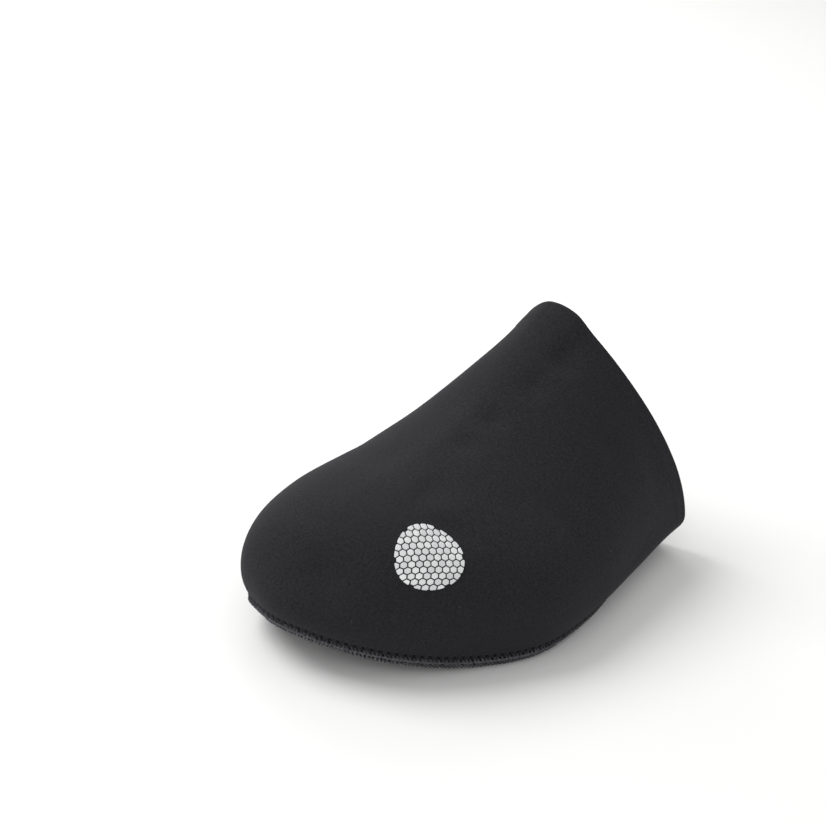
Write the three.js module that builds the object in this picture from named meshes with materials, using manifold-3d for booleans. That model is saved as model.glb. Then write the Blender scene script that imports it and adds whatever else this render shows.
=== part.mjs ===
import * as THREE from "three";
import { mergeVertices } from "three/addons/utils/BufferGeometryUtils.js";
import Module from "manifold-3d";

// Toe cover of stretch softshell for a left cycling shoe, standing empty in its worn form.
// Millimetres, +Z up, the toe towards -Y and the outer side of the foot towards +X.

// Overall form
const coverLength = 167; // toe tip to the hem's rearmost point, low on the inner side
const outerHem = 158.5; // toe tip to the hem, low on the outer side
const topHem = 140; // toe tip to the hem, on the instep
const hemBow = 4; // how far the hem bows towards the toe between the instep and each side
const ballWidth = 108;
const instepHeight = 88;
const ridgeInwards = 9; // the instep's ridge and the toe tip lie on the big-toe side
const toeSpring = 10.5; // lift of the sole at the toe tip
const springLength = 51; // length of the lifted stretch

// Side walls: where they are widest, and how far they turn under
const toeWidestHeight = 22;
const waistWidestHeight = 14;
const forefootTuck = 28; // degrees from upright at the seam
const waistTuck = 62;
const tuckShare = 0.5; // share of the wall under the widest line that curves inwards
const foreRoundness = 2.1; // superellipse power of the cross sections over the toes
const instepRoundness = 1.7;

// Cloth and seam
const wall = 2;
const hemFold = 9; // depth of the turned-in hem
const foldThickness = 1; // the hem's second ply, inside
const foldStepLength = 0.6; // over which the second ply reaches its thickness
const seamGap = 0.3; // clearance between neighbouring pieces
const seamWidth = 6.2; // the overlocked edge, from the upper down to the floor
const seamProud = 0.7; // how far it stands out of the upper's face
const seamThickness = 3.5;
const seamSquareness = 3.2; // superellipse power of the seam's section

// Sole panel and its cleat window
const soleThickness = 2;
const archCut = 4; // how far the rear edge of the sole panel bows towards the toe
const windowBack = 94; // toe tip to the window's centre
const windowSide = 2;
const windowLength = 68;
const windowWidth = 56;
const windowSquareness = 2.8;
const windowRimWidth = 4; // the doubled edge round the window
const windowRimHeight = 0.8;

// Reflective disc on the outer side of the toes
const reflectorDiameter = 23;
const reflectorThickness = 0.3;
const reflectorBack = 30.7;
const reflectorTurn = 41.2; // degrees up from the widest line, along the cross section

// Mesh density
const bodyRows = 34;
const arcColumns = 36;
const wallRows = 4;
const seamPoints = 14;
const soleColumns = 12;
const windowPoints = 48;
const reflectorRings = 3;
const reflectorSpokes = 28;
const rowPower = 1.7; // rows crowd towards the toe tip

// Stations of the last. back is the distance behind the toe tip as a share of coverLength, outer and
// inner are the widest points of the two sides as shares of ballWidth, top is the ridge's height as a
// share of instepHeight.
const lastTable = [
  {
    back: 0,
    outer: -ridgeInwards / ballWidth,
    inner: -ridgeInwards / ballWidth,
    top: toeWidestHeight / instepHeight,
  },
  { back: 0.018, outer: 0.071, inner: -0.212, top: 0.352 },
  { back: 0.054, outer: 0.177, inner: -0.325, top: 0.459 },
  { back: 0.12, outer: 0.29, inner: -0.402, top: 0.552 },
  { back: 0.23, outer: 0.411, inner: -0.458, top: 0.597 },
  { back: 0.37, outer: 0.511, inner: -0.486, top: 0.619 },
  { back: 0.54, outer: 0.508, inner: -0.474, top: 0.705 },
  { back: 0.72, outer: 0.456, inner: -0.404, top: 0.886 },
  { back: 0.9, outer: 0.402, inner: -0.342, top: 1.03 },
  { back: 1.08, outer: 0.37, inner: -0.305, top: 1.08 },
];

const rows = bodyRows + 2; // the last two rows make the step and the depth of the hem
const stations = 2 * rows + 1; // from the inner hem round the toe to the outer hem

function smoothstep(low, high, value) {
  const t = Math.min(Math.max((value - low) / (high - low), 0), 1);
  return t * t * (3 - 2 * t);
}

// A column of the last table at a distance behind the toe tip: a cubic through the stations over the
// square root of that distance, so that the toe tip is round.
function lastValue(column, back) {
  const at = lastTable.map((row) => Math.sqrt(row.back * coverLength));
  const value = lastTable.map((row) => row[column]);
  const q = Math.sqrt(Math.max(back, 0));
  let i = 0;
  while (i < at.length - 2 && q > at[i + 1]) {
    i += 1;
  }
  const slope = (k) => {
    const before = Math.max(k - 1, 0);
    const after = Math.min(k + 1, at.length - 1);
    return (value[after] - value[before]) / (at[after] - at[before]);
  };
  const span = at[i + 1] - at[i];
  const t = (q - at[i]) / span;
  const start = (2 * t ** 3 - 3 * t ** 2 + 1) * value[i] + (t ** 3 - 2 * t ** 2 + t) * span * slope(i);
  const end = (3 * t ** 2 - 2 * t ** 3) * value[i + 1] + (t ** 3 - t ** 2) * span * slope(i + 1);
  return start + end;
}

function outerAt(back) {
  return lastValue("outer", back) * ballWidth;
}

function innerAt(back) {
  return lastValue("inner", back) * ballWidth;
}

function topAt(back) {
  return lastValue("top", back) * instepHeight;
}

function waistShare(back) {
  return smoothstep(0.18 * coverLength, 0.9 * coverLength, back);
}

function widestHeightAt(back) {
  const share = smoothstep(0, 0.8 * coverLength, back);
  return toeWidestHeight + (waistWidestHeight - toeWidestHeight) * share;
}

function tuckAt(back) {
  const share = smoothstep(0.23 * coverLength, 0.96 * coverLength, back);
  return THREE.MathUtils.degToRad(forefootTuck + (waistTuck - forefootTuck) * share);
}

function soleHeightAt(back) {
  return toeSpring * Math.max(1 - back / springLength, 0) ** 2;
}

// Distance from the toe tip to the hem. turn goes from 0 on the outer widest line over the ridge to pi
// on the inner one.
function hemReach(turn) {
  const side = turn <= Math.PI / 2 ? outerHem : coverLength;
  return side + (topHem - side) * Math.sin(turn) ** 1.5 - hemBow * Math.sin(2 * turn) ** 2;
}

function rowBack(row, turn) {
  const reach = hemReach(turn);
  if (row > bodyRows + 1) {
    return reach;
  }
  if (row > bodyRows) {
    return reach - hemFold + foldStepLength;
  }
  return (reach - hemFold) * (row / bodyRows) ** rowPower;
}

// The upper's outer face above its widest line: a half superellipse across the foot at each row.
function domePoint(turn, back) {
  const power = 2 / (foreRoundness + (instepRoundness - foreRoundness) * waistShare(back));
  const across = Math.cos(turn);
  const edge = across >= 0 ? outerAt(back) : innerAt(back);
  const rise = topAt(back) - widestHeightAt(back);
  return new THREE.Vector3(
    (edge + ridgeInwards) * Math.abs(across) ** power - ridgeInwards,
    back,
    widestHeightAt(back) + rise * Math.sin(turn) ** power,
  );
}

// The widest line in plan. side is -1 at the inner hem, 0 at the toe tip and 1 at the outer hem.
function widestLine(side, reach) {
  const back = reach * Math.abs(side) ** rowPower;
  return new THREE.Vector2(side >= 0 ? outerAt(back) : innerAt(back), back);
}

// One station of the wall under the widest line: its place, the outward direction in plan, the tuck,
// and the seam line where the upper ends.
function wallStation(station) {
  const row = Math.abs(station - rows);
  const side = Math.sign(station - rows);
  const turn = side < 0 ? Math.PI : 0;
  const back = rowBack(row, turn);
  const reach = hemReach(turn);
  const along = side * (back / reach) ** (1 / rowPower);
  const step = 0.002;
  const before = widestLine(along - step, along - step < 0 ? coverLength : outerHem);
  const after = widestLine(along + step, along + step < 0 ? coverLength : outerHem);
  const travel = after.sub(before).normalize();
  const tuck = tuckAt(back);
  const floor = soleHeightAt(back);
  const seamHeight = floor + (seamGap + seamWidth) * Math.cos(tuck) + seamProud * Math.sin(tuck);
  const drop = widestHeightAt(back) - seamHeight;
  return {
    row,
    back,
    floor,
    tuck,
    drop,
    inset: tuckShare * drop * Math.tan(tuck),
    seamHeight,
    widest: new THREE.Vector3(side < 0 ? innerAt(back) : outerAt(back), back, widestHeightAt(back)),
    outward: new THREE.Vector3(travel.y, -travel.x, 0),
  };
}

const wallStations = Array.from({ length: stations }, (_, station) => wallStation(station));

// A quadratic curve from the widest line, upright, down to the seam line, leaning in by the tuck.
function wallPoint(place, share) {
  const inwards = place.inset * share ** 2;
  const down = place.drop * (2 * (1 - tuckShare) * share * (1 - share) + share ** 2);
  return place.widest.clone().addScaledVector(place.outward, -inwards).add(new THREE.Vector3(0, 0, -down));
}

// A point of the seam's section: out is measured off the upper's face, along from the seam line down.
function seamPoint(place, out, along) {
  const level = -place.inset + out * Math.cos(place.tuck) - along * Math.sin(place.tuck);
  const height = place.seamHeight - out * Math.sin(place.tuck) - along * Math.cos(place.tuck);
  const point = place.widest.clone().addScaledVector(place.outward, level);
  return point.setZ(height);
}

function geometryOf(points, faces) {
  const geometry = new THREE.BufferGeometry();
  geometry.setAttribute("position", new THREE.Float32BufferAttribute(points.flatMap((p) => p.toArray()), 3));
  geometry.setIndex(faces);
  return geometry;
}

// Two triangles for each cell of a grid whose vertices are given by index(row, column). Cells with a
// repeated corner give one triangle.
function gridFaces(rowCount, columnCount, index) {
  const faces = [];
  for (let i = 0; i < rowCount; i += 1) {
    for (let j = 0; j < columnCount; j += 1) {
      const [a, b, c, d] = [index(i, j), index(i, j + 1), index(i + 1, j + 1), index(i + 1, j)];
      if (a !== b) {
        faces.push(a, b, c);
      }
      if (c !== d) {
        faces.push(a, c, d);
      }
    }
  }
  return faces;
}

// A sheet given a wall towards its back: the same sheet again, moved along the vertex normals by each
// vertex's own thickness and turned over, and the two joined along their free edges.
function thicken(points, faces, thicknessOf) {
  const sheet = geometryOf(points, faces);
  sheet.computeVertexNormals();
  const normals = sheet.getAttribute("normal");
  const count = points.length;
  const back = points.map((point, i) => {
    const normal = new THREE.Vector3().fromBufferAttribute(normals, i);
    return point.clone().addScaledVector(normal, -thicknessOf(i));
  });
  const edges = new Map();
  for (let k = 0; k < faces.length; k += 3) {
    for (let e = 0; e < 3; e += 1) {
      const from = faces[k + e];
      const to = faces[k + ((e + 1) % 3)];
      if (!edges.delete(`${to} ${from}`)) {
        edges.set(`${from} ${to}`, [from, to]);
      }
    }
  }
  const all = [...faces];
  for (let k = 0; k < faces.length; k += 3) {
    all.push(faces[k] + count, faces[k + 2] + count, faces[k + 1] + count);
  }
  for (const [from, to] of edges.values()) {
    all.push(from, from + count, to + count, from, to + count, to);
  }
  return geometryOf([...points, ...back], all);
}

// The upper: a dome of rows from the toe tip to the hem and, under its widest line, the side wall.
function upper() {
  const points = [domePoint(0, 0)];
  const rowOf = [0];
  for (let row = 1; row <= rows; row += 1) {
    for (let column = 0; column <= arcColumns; column += 1) {
      const turn = (Math.PI * column) / arcColumns;
      points.push(domePoint(turn, rowBack(row, turn)));
      rowOf.push(row);
    }
  }
  const domeIndex = (row, column) => (row === 0 ? 0 : 1 + (row - 1) * (arcColumns + 1) + column);
  const wallStart = points.length;
  for (const place of wallStations) {
    for (let k = 1; k <= wallRows; k += 1) {
      points.push(wallPoint(place, k / wallRows));
      rowOf.push(place.row);
    }
  }
  const wallIndex = (k, station) => {
    if (k > 0) {
      return wallStart + station * wallRows + k - 1;
    }
    return station < rows ? domeIndex(rows - station, arcColumns) : domeIndex(station - rows, 0);
  };
  const faces = [
    ...gridFaces(rows, arcColumns, domeIndex),
    ...gridFaces(wallRows, stations - 1, wallIndex),
  ].reverse();
  return thicken(points, faces, (i) => (rowOf[i] > bodyRows ? wall + foldThickness : wall));
}

// The section of the overlocked edge, a squarish oval, as out and along values.
const seamSection = Array.from({ length: seamPoints }, (_, k) => {
  const angle = (2 * Math.PI * (k + 0.5)) / seamPoints;
  const round = (value) => Math.sign(value) * Math.abs(value) ** (2 / seamSquareness);
  return {
    out: seamProud - seamThickness / 2 + (seamThickness / 2) * round(Math.cos(angle)),
    along: seamGap + seamWidth / 2 + (seamWidth / 2) * round(Math.sin(angle)),
  };
});

// The overlocked edge: its section carried along the seam line, with flat ends at the hem.
function seamBinding() {
  const points = [];
  for (const place of wallStations) {
    points.push(...seamSection.map(({ out, along }) => seamPoint(place, out, along)));
  }
  const index = (station, k) => station * seamPoints + (k % seamPoints);
  const faces = gridFaces(stations - 1, seamPoints, index);
  for (let k = 1; k < seamPoints - 1; k += 1) {
    faces.push(index(0, 0), index(0, k + 1), index(0, k));
    faces.push(index(stations - 1, 0), index(stations - 1, k), index(stations - 1, k + 1));
  }
  return geometryOf(points, faces);
}

// The edge of the sole panel at a station, clear of each point of the seam that is low enough to meet it.
function soleEdge(place) {
  const low = seamSection
    .map(({ out, along }) => seamPoint(place, out, along))
    .filter((point) => point.z < place.floor + soleThickness + seamThickness / 2);
  const levels = low.map((point) => point.sub(place.widest).dot(place.outward));
  return place.widest.clone().addScaledVector(place.outward, Math.min(...levels) - seamGap);
}

function solePlate() {
  const points = [];
  for (const lift of [0, soleThickness]) {
    for (let row = 0; row <= rows; row += 1) {
      const outerEdge = soleEdge(wallStations[rows + row]);
      const innerEdge = soleEdge(wallStations[rows - row]);
      for (let column = 0; column <= soleColumns; column += 1) {
        const share = column / soleColumns;
        const point = outerEdge.clone().lerp(innerEdge, share);
        point.y -= archCut * 4 * share * (1 - share) * (row / rows) ** 8;
        points.push(point.setZ(soleHeightAt(point.y) + lift));
      }
    }
  }
  const layer = (rows + 1) * (soleColumns + 1);
  const index = (row, column) => row * (soleColumns + 1) + column;
  const under = gridFaces(rows, soleColumns, (row, column) => (row === 0 ? 0 : index(row, column)));
  const faces = [...under];
  for (let k = 0; k < under.length; k += 3) {
    faces.push(under[k] + layer, under[k + 2] + layer, under[k + 1] + layer);
  }
  const rim = [];
  for (let row = 0; row < rows; row += 1) {
    rim.push(row === 0 ? 0 : index(row, 0));
  }
  for (let column = 0; column < soleColumns; column += 1) {
    rim.push(index(rows, column));
  }
  for (let row = rows; row > 0; row -= 1) {
    rim.push(index(row, soleColumns));
  }
  rim.forEach((from, k) => {
    const to = rim[(k + 1) % rim.length];
    faces.push(from, to, to + layer, from, to + layer, from + layer);
  });
  return geometryOf(points, faces);
}

// A squarish oval prism round the window's centre, grown by a margin.
function windowPrism(margin, low, high) {
  const shape = new THREE.Shape(
    Array.from({ length: windowPoints }, (_, k) => {
      const angle = (2 * Math.PI * k) / windowPoints;
      const round = (value) => Math.sign(value) * Math.abs(value) ** (2 / windowSquareness);
      return new THREE.Vector2(
        windowSide + (windowWidth / 2 + margin) * round(Math.cos(angle)),
        windowBack + (windowLength / 2 + margin) * round(Math.sin(angle)),
      );
    }),
  );
  const prism = new THREE.ExtrudeGeometry(shape, { depth: high - low, bevelEnabled: false });
  return prism.translate(0, 0, low);
}

const wasm = await Module();
wasm.setup();

function solidOf(geometry) {
  const bare = geometry.clone();
  bare.deleteAttribute("normal");
  bare.deleteAttribute("uv");
  const merged = mergeVertices(bare, 1e-4);
  return new wasm.Manifold(
    new wasm.Mesh({
      numProp: 3,
      vertProperties: new Float32Array(merged.getAttribute("position").array),
      triVerts: new Uint32Array(merged.getIndex().array),
    }),
  );
}

function geometryFrom(solid) {
  const mesh = solid.getMesh();
  const geometry = new THREE.BufferGeometry();
  geometry.setAttribute("position", new THREE.BufferAttribute(mesh.vertProperties, 3));
  geometry.setIndex(new THREE.BufferAttribute(mesh.triVerts, 1));
  return geometry;
}

// The sole panel with a doubled edge round its cleat window.
function solePanel() {
  const plate = solidOf(solePlate());
  const rim = solidOf(windowPrism(windowRimWidth, soleThickness / 2, soleThickness + windowRimHeight));
  const opening = solidOf(windowPrism(0, -soleThickness, 3 * soleThickness));
  return geometryFrom(plate.add(rim).subtract(opening));
}

// The reflective disc: rings round its centre, laid on the upper's own surface and lifted off it.
function reflector() {
  const turn = THREE.MathUtils.degToRad(reflectorTurn);
  const centre = domePoint(turn, reflectorBack);
  const perTurn = domePoint(turn + 0.01, reflectorBack).sub(centre).divideScalar(0.01);
  const perBack = domePoint(turn, reflectorBack + 0.1).sub(centre).divideScalar(0.1);
  const sideways = perTurn.clone().normalize();
  const backLength = perBack.clone().addScaledVector(sideways, -perBack.dot(sideways)).length();
  const onSurface = (across, behind) => {
    const backShift = behind / backLength;
    const turnShift = (across - backShift * perBack.dot(sideways)) / perTurn.length();
    return domePoint(turn + turnShift, reflectorBack + backShift);
  };
  const points = [onSurface(0, 0)];
  for (let ring = 1; ring <= reflectorRings; ring += 1) {
    for (let spoke = 0; spoke < reflectorSpokes; spoke += 1) {
      const angle = (2 * Math.PI * spoke) / reflectorSpokes;
      const radius = (reflectorDiameter / 2) * (ring / reflectorRings);
      points.push(onSurface(-radius * Math.cos(angle), radius * Math.sin(angle)));
    }
  }
  const index = (ring, spoke) => {
    return ring === 0 ? 0 : 1 + (ring - 1) * reflectorSpokes + (spoke % reflectorSpokes);
  };
  const faces = gridFaces(reflectorRings, reflectorSpokes, index).reverse();
  const sheet = geometryOf(points, faces);
  sheet.computeVertexNormals();
  const normals = sheet.getAttribute("normal");
  const lifted = points.map((point, i) => {
    const normal = new THREE.Vector3().fromBufferAttribute(normals, i);
    return point.addScaledVector(normal, seamGap + reflectorThickness);
  });
  return thicken(lifted, faces, () => reflectorThickness);
}

function piece(name, geometry, color, roughness, metalness) {
  const mesh = new THREE.Mesh(geometry, new THREE.MeshStandardMaterial({ color, roughness, metalness }));
  mesh.name = name;
  return mesh;
}

const cover = new THREE.Group();
cover.add(
  piece("upper", upper(), 0x2b2b2d, 0.9, 0),
  piece("sole_panel", solePanel(), 0x232324, 0.95, 0),
  piece("seam_binding", seamBinding(), 0x1d1d1e, 0.95, 0),
  piece("reflector", reflector(), 0xc9cccf, 0.35, 0.2),
);

// The origin goes to the middle of the box that the cover fills, on the floor.
const box = new THREE.Box3().setFromObject(cover);
const middle = box.getCenter(new THREE.Vector3());
cover.position.set(-middle.x, -middle.y, -box.min.z);
cover.updateMatrixWorld(true);

export default cover;
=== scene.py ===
from math import pi, radians

import bpy
import numpy as np
from mathutils import Matrix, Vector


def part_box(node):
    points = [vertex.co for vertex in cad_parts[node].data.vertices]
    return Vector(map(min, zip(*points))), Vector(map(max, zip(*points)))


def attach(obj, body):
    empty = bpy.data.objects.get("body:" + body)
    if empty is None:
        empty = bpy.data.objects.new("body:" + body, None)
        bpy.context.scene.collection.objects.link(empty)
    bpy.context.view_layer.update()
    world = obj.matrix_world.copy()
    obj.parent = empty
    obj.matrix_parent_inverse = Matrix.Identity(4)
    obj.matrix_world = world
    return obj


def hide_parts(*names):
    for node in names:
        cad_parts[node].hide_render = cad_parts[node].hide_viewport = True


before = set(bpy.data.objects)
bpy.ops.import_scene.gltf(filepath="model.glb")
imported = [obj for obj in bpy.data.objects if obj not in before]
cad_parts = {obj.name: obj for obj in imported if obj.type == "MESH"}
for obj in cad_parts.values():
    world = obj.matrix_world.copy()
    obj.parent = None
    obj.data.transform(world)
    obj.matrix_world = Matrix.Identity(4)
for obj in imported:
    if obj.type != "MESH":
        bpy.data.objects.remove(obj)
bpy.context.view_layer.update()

print("frame loaded")

# The toe cover's own sizes, in millimetres and degrees, with the toe tip at y = 0 and the floor at z = 0.
# A stretch is the part of the length, in shares of it, over which a value changes from fore to arch.
last = {
    "length": 167.0, "outerHem": 158.5, "topHem": 140.0, "hemBow": 4.0, "hemPower": 1.5,
    "ballWidth": 108.0, "instepHeight": 88.0, "ridge": -9.0,
    "toeSpring": 10.5, "springLength": 51.0,
    "toeWidest": 22.0, "waistWidest": 14.0, "widestStretch": (0, 0.8),
    "foreTuck": 28.0, "waistTuck": 62.0, "tuckStretch": (0.23, 0.96), "tuckShare": 0.5,
    "foreRoundness": 2.1, "instepRoundness": 1.7, "roundnessStretch": (0.18, 0.9), "rowPower": 1.7,
}
# Stations of the last: distance behind the toe tip over the length, the two sides over the ball width,
# the ridge over the instep height.
stations = {
    "back": [0, 0.018, 0.054, 0.12, 0.23, 0.37, 0.54, 0.72, 0.9, 1.08],
    "outer": [-0.0833, 0.071, 0.177, 0.29, 0.411, 0.511, 0.508, 0.456, 0.402, 0.37],
    "inner": [-0.0833, -0.212, -0.325, -0.402, -0.458, -0.486, -0.474, -0.404, -0.342, -0.305],
    "top": [0.25, 0.352, 0.459, 0.552, 0.597, 0.619, 0.705, 0.886, 1.03, 1.08],
}
seam = {"gap": 0.3, "width": 6.2, "proud": 0.7, "thickness": 3.5, "squareness": 3.2, "stitch": 2.75}
seamMiddleOut = seam["proud"] - seam["thickness"] / 2
seamMiddleDown = seam["gap"] + seam["width"] / 2
millimetre = 0.001


def smoothstep(low, high, value):
    t = np.clip((value - low) / (high - low), 0, 1)
    return t * t * (3 - 2 * t)


def unit(vector):
    return vector / np.linalg.norm(vector, axis=-1, keepdims=True)


def pathLength(points):
    # the distance along a path, or along each row of a grid, from its first point
    steps = np.linalg.norm(np.diff(points, axis=-2), axis=-1)
    return np.concatenate([np.zeros((*steps.shape[:-1], 1)), np.cumsum(steps, axis=-1)], -1)


def lastValue(column, back):
    # a cubic through the stations over the square root of the distance behind the toe tip
    at = np.sqrt(np.array(stations["back"]) * last["length"])
    value = np.array(stations[column])
    after, before = np.r_[1:len(at), len(at) - 1], np.r_[0, :len(at) - 1]
    slope = (value[after] - value[before]) / (at[after] - at[before])
    q = np.sqrt(np.maximum(back, 0))
    i = np.clip(np.searchsorted(at, q) - 1, 0, len(at) - 2)
    span = at[i + 1] - at[i]
    t = (q - at[i]) / span
    start = (2 * t**3 - 3 * t**2 + 1) * value[i] + (t**3 - 2 * t**2 + t) * span * slope[i]
    end = (3 * t**2 - 2 * t**3) * value[i + 1] + (t**3 - t**2) * span * slope[i + 1]
    return start + end


def sideAt(back, outer):
    return np.where(outer, lastValue("outer", back), lastValue("inner", back)) * last["ballWidth"]


def changingValue(fore, arch, stretch, back):
    low, high = (share * last["length"] for share in last[stretch])
    return last[fore] + (last[arch] - last[fore]) * smoothstep(low, high, back)


def widestHeight(back):
    return changingValue("toeWidest", "waistWidest", "widestStretch", back)


def tuckAt(back):
    return np.radians(changingValue("foreTuck", "waistTuck", "tuckStretch", back))


def soleHeight(back):
    return last["toeSpring"] * np.maximum(1 - back / last["springLength"], 0) ** 2


def hemReach(turn):
    side = np.where(turn <= pi / 2, last["outerHem"], last["length"])
    reach = side + (last["topHem"] - side) * np.sin(turn) ** last["hemPower"]
    return reach - last["hemBow"] * np.sin(2 * turn) ** 2


def domePoint(turn, back):
    # half a superellipse across the foot, from the outer widest line over the ridge to the inner one
    power = 2 / changingValue("foreRoundness", "instepRoundness", "roundnessStretch", back)
    across = np.cos(turn)
    edge = sideAt(back, across >= 0)
    top = lastValue("top", back) * last["instepHeight"]
    x = last["ridge"] + (edge - last["ridge"]) * np.abs(across) ** power
    z = widestHeight(back) + (top - widestHeight(back)) * np.abs(np.sin(turn)) ** power
    return np.stack([x, back + 0 * turn, z], -1)


def widestLine(along):
    # along runs from -1 at the inner hem over 0 at the toe tip to 1 at the outer hem
    reach = np.where(along < 0, last["length"], last["outerHem"])
    back = reach * np.abs(along) ** last["rowPower"]
    return np.stack([sideAt(back, along >= 0), back], -1)


def wallPlace(along):
    # place, outward direction, tuck and seam line of the side wall at each value of along
    widest = widestLine(along)
    step = 0.002
    travel = unit(widestLine(along + step) - widestLine(along - step))
    back = widest[..., 1]
    tuck = tuckAt(back)
    seamHeight = soleHeight(back) + (seam["gap"] + seam["width"]) * np.cos(tuck)
    seamHeight = seamHeight + seam["proud"] * np.sin(tuck)
    drop = widestHeight(back) - seamHeight
    return {
        "widest": widest, "outward": np.stack([travel[..., 1], -travel[..., 0]], -1), "back": back,
        "tuck": tuck, "seamHeight": seamHeight,
        "drop": drop, "inset": last["tuckShare"] * drop * np.tan(tuck),
    }


def wallPoint(place, share):
    # a quadratic curve from the widest line, upright, down to the seam line, leaning in by the tuck
    inwards = place["inset"] * share**2
    down = place["drop"] * (2 * (1 - last["tuckShare"]) * share * (1 - share) + share**2)
    flat = place["widest"] - place["outward"] * inwards[..., None]
    return np.concatenate([flat, (widestHeight(place["back"]) - down)[..., None]], -1)


def seamPoint(place, out, along):
    # out is measured off the upper's face, along from the seam line down to the floor
    level = -place["inset"] + out * np.cos(place["tuck"]) - along * np.sin(place["tuck"])
    height = place["seamHeight"] - out * np.sin(place["tuck"]) - along * np.cos(place["tuck"])
    return np.concatenate([place["widest"] + place["outward"] * level[..., None], height[..., None]], -1)


def seamRing(angle, grow):
    # the overlocked edge's section, a squarish oval: 0 faces out, a quarter turn is its lower edge
    def squared(wave):
        return np.sign(wave) * np.abs(wave) ** (2 / seam["squareness"])

    out = seamMiddleOut + (seam["thickness"] / 2 + grow) * squared(np.cos(angle))
    down = seamMiddleDown + (seam["width"] / 2 + grow) * squared(np.sin(angle))
    return out, down


# Arc length along the seam line, so that stitches keep their pitch.
seamAlong = np.linspace(-1, 1, 1601)
seamLength = pathLength(seamPoint(wallPlace(seamAlong), 0, 0))


def placeAtLength(length):
    return wallPlace(np.interp(length, seamLength, seamAlong))


# The frame's axes start at the middle of the box, this script's own at the toe tip.
upperLow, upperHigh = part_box("upper")
sampleBacks = np.linspace(0, last["length"], 400)
ownMiddle = (sideAt(sampleBacks, True).max() + sideAt(sampleBacks, False).min()) / 2
frameShift = np.array([(upperLow[0] + upperHigh[0]) / 2 - ownMiddle * millimetre, upperLow[1], 0.0])


def toFrame(points):
    return np.asarray(points, float).reshape(-1, 3) * millimetre + frameShift


def gridQuads(rowCount, columnCount, start=0, closed=False):
    # faces of a grid of rowCount by columnCount vertices, as vertex numbers
    across = columnCount if closed else columnCount - 1
    i, j = np.meshgrid(np.arange(rowCount - 1), np.arange(across), indexing="ij")
    nextJ = (j + 1) % columnCount
    here, after = i * columnCount, (i + 1) * columnCount
    return start + np.stack([here + j, here + nextJ, after + nextJ, after + j], -1).reshape(-1, 4)


def endCaps(ringCount, sides):
    # triangles that close the first and the last ring of a tube
    final = (ringCount - 1) * sides
    caps = [[0, k + 1, k] for k in range(1, sides - 1)]
    return np.array(caps + [[final, final + k, final + k + 1] for k in range(1, sides - 1)])


def addObject(name, data):
    thing = bpy.data.objects.new(name, data)
    bpy.context.scene.collection.objects.link(thing)
    return thing


def makePiece(name, points, quads, tris=None, materials=(), slots=None, values=None, uv=None, smooth=True):
    # points in this script's millimetres; slots is a material number for each face, quads first
    tris = np.zeros((0, 3), int) if tris is None else np.asarray(tris)
    mesh = bpy.data.meshes.new(name)
    corners = np.concatenate([np.asarray(quads).ravel(), tris.ravel()]).astype(np.int32)
    counts = np.concatenate([np.full(len(quads), 4), np.full(len(tris), 3)]).astype(np.int32)
    mesh.vertices.add(len(points))
    mesh.vertices.foreach_set("co", toFrame(points).astype(np.float32).ravel())
    mesh.loops.add(len(corners))
    mesh.loops.foreach_set("vertex_index", corners)
    mesh.polygons.add(len(counts))
    mesh.polygons.foreach_set("loop_start", np.concatenate([[0], np.cumsum(counts)[:-1]]).astype(np.int32))
    mesh.polygons.foreach_set("loop_total", counts)
    mesh.polygons.foreach_set("use_smooth", np.full(len(counts), smooth))
    if slots is not None:
        mesh.polygons.foreach_set("material_index", np.asarray(slots, np.int32))
    for key, data in (values or {}).items():
        mesh.attributes.new(key, "FLOAT", "POINT").data.foreach_set("value", np.asarray(data, np.float32))
    if uv is not None:
        layer = mesh.uv_layers.new(name="UVMap")
        layer.data.foreach_set("uv", np.asarray(uv, np.float32)[corners].ravel())
    mesh.update(calc_edges=True)
    mesh.validate()
    for material in materials:
        mesh.materials.append(material)
    piece = addObject(name, mesh)
    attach(piece, "root")
    return piece


def vertexNormals(points, *faceGroups):
    # each face's normal is weighted by its area, as it comes from a cross product
    total = np.zeros_like(points)
    for faces in faceGroups:
        a, b, c, d = (points[faces[:, k]] for k in (0, 1, 2, -1))
        for column in faces.T:
            np.add.at(total, column, np.cross(c - a, d - b))
    return unit(total)


def tube(path, normal, radius, sides, flatness=1.0):
    # an oval ring of vertices round each point of the path, in the plane of its normal and its side
    # direction; flatness is its height along the normal over its width
    travel = unit(np.gradient(path, axis=0))
    side = unit(np.cross(travel, normal))
    upward = np.cross(side, travel)
    angle = np.arange(sides) * 2 * pi / sides
    radius = np.broadcast_to(radius, len(path))[:, None, None]
    ring = flatness * np.cos(angle)[None, :, None] * upward[:, None]
    ring = ring + np.sin(angle)[None, :, None] * side[:, None]
    points = (path[:, None] + radius * ring).reshape(-1, 3)
    uv = np.stack([np.repeat(pathLength(path), sides), np.tile(np.arange(sides) / sides, len(path))], -1)
    return points, gridQuads(len(path), sides, closed=True), endCaps(len(path), sides), uv


def joinTubes(parts):
    starts = np.cumsum([0] + [len(points) for points, *_ in parts])
    moved = [(points, quads + start, tris + start, uv)
             for start, (points, quads, tris, uv) in zip(starts, parts)]
    return [np.concatenate(column) for column in zip(*moved)]


# Materials. The looks give the size of each pattern in millimetres, and the nodes take it per metre.


def linearColour(hexText):
    part = np.array([int(hexText[k:k + 2], 16) for k in (1, 3, 5)]) / 255
    return (*np.where(part <= 0.04045, part / 12.92, ((part + 0.055) / 1.055) ** 2.4).tolist(), 1.0)


def newMaterial(name, **values):
    material = bpy.data.materials.new(name)
    material.use_nodes = True
    tree = material.node_tree
    for socket, value in values.items():
        tree.nodes["Principled BSDF"].inputs[socket.replace("_", " ")].default_value = value
    return material, tree


def linkSurface(tree, colour, normal):
    sockets = tree.nodes["Principled BSDF"].inputs
    tree.links.new(colour, sockets["Base Color"])
    tree.links.new(normal, sockets["Normal"])


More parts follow.
